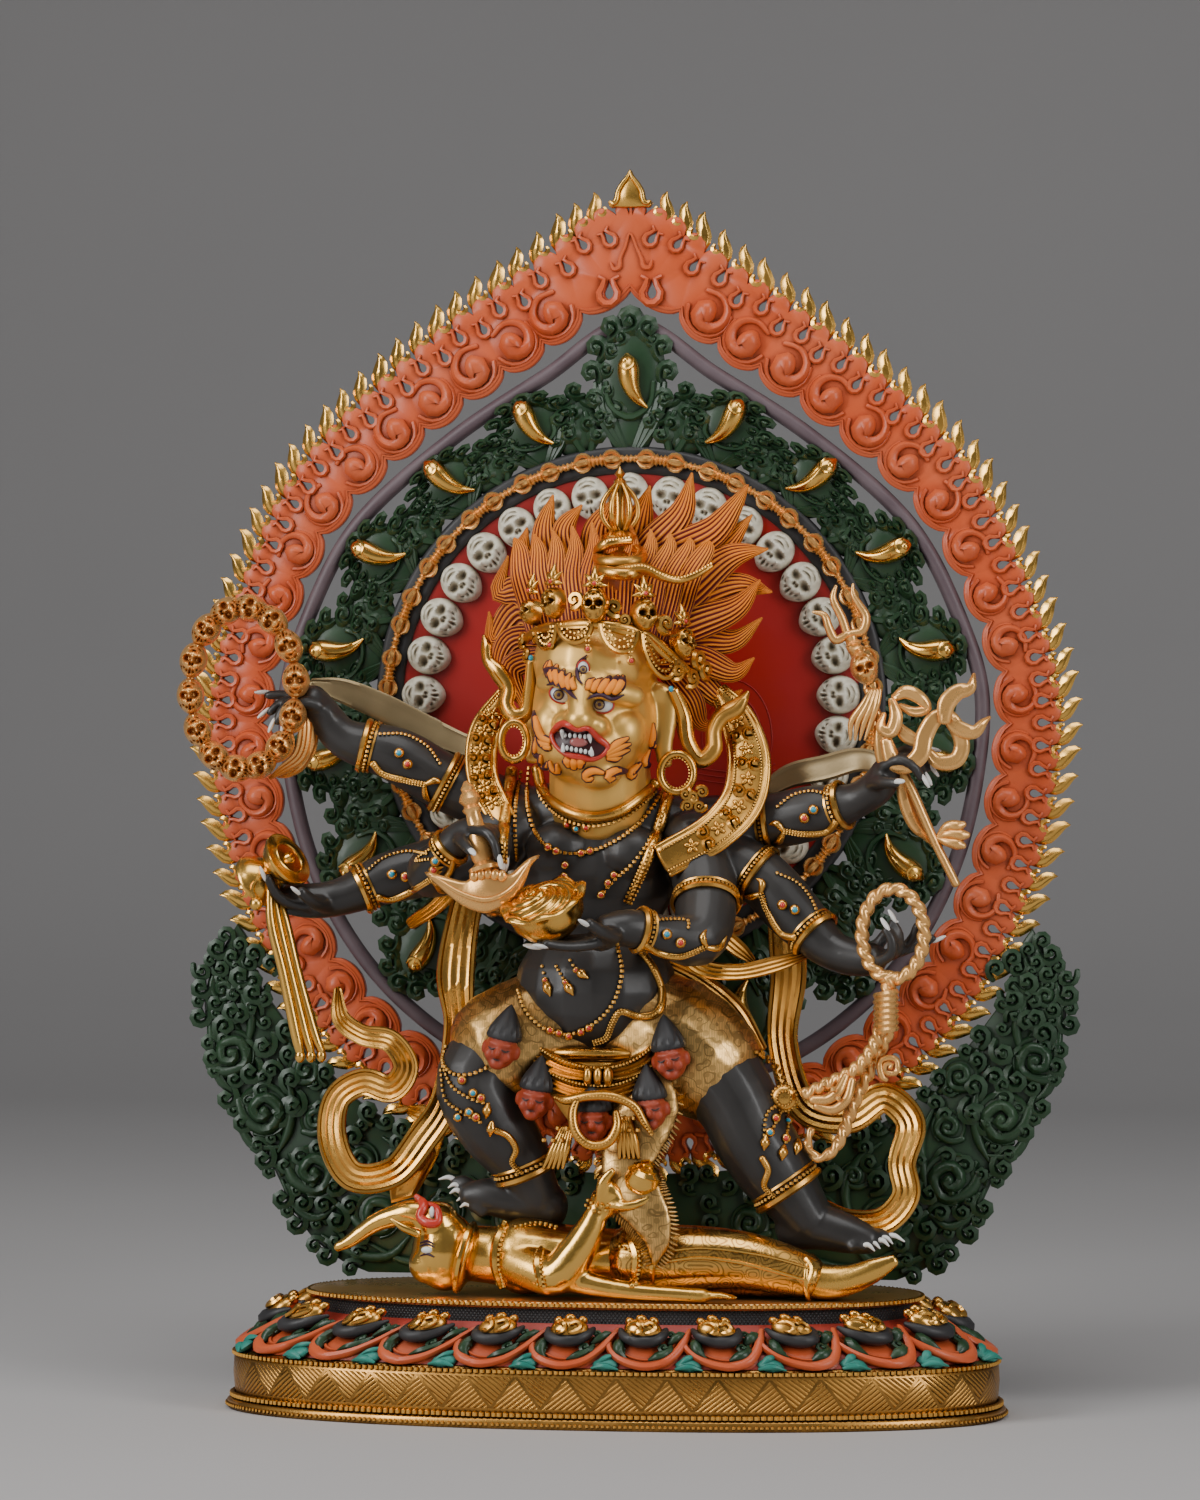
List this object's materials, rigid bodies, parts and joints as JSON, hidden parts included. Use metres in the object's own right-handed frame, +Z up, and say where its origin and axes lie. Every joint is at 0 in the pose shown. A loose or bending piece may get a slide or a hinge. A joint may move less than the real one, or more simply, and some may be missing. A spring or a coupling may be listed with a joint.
{
  "type": "mahakala figure",
  "caption": "Gilt and painted metal figure of a many-armed guardian deity striding over a lying elephant-headed figure on a lotus plinth, with a flaming openwork aureole behind.",
  "frame": {"origin": "middle of the plinth's flat underside", "axes": "+Z up, the figure faces -Y, +X to the right of someone who looks at its face"},
  "size_m": [0.4592, 0.184, 0.6253],
  "materials": {
    "gilding": "fire gilding, polished on the raised work, dark in the recesses",
    "body_black": "satin near-black paint",
    "hair_orange": "matt orange paint with dark grooves",
    "flame_red": "satin terracotta red paint",
    "leaf_green": "satin dark green paint",
    "rod_grey": "satin purple-grey paint",
    "halo_red": "satin deep red paint",
    "bone_white": "matt cream paint with brown recesses",
    "head_red": "satin terracotta paint",
    "petal_teal": "satin teal paint",
    "stones": "polished opaque red and turquoise stones"
  },
  "bodies": {
    "root": {"lotus_plinth": "gilding", "aureole": "flame_red", "mahakala": "body_black", "hair_and_crown": "hair_orange", "right_arms": "body_black", "left_arms": "body_black", "trampled_figure": "gilding", "skull_rosary": "gilding", "hand_drum": "gilding", "flaying_knife": "gilding", "skull_cup": "gilding", "trident": "gilding", "noose": "gilding", "right_scarf": "gilding", "left_scarf": "gilding"}
  },
  "joints": []
}
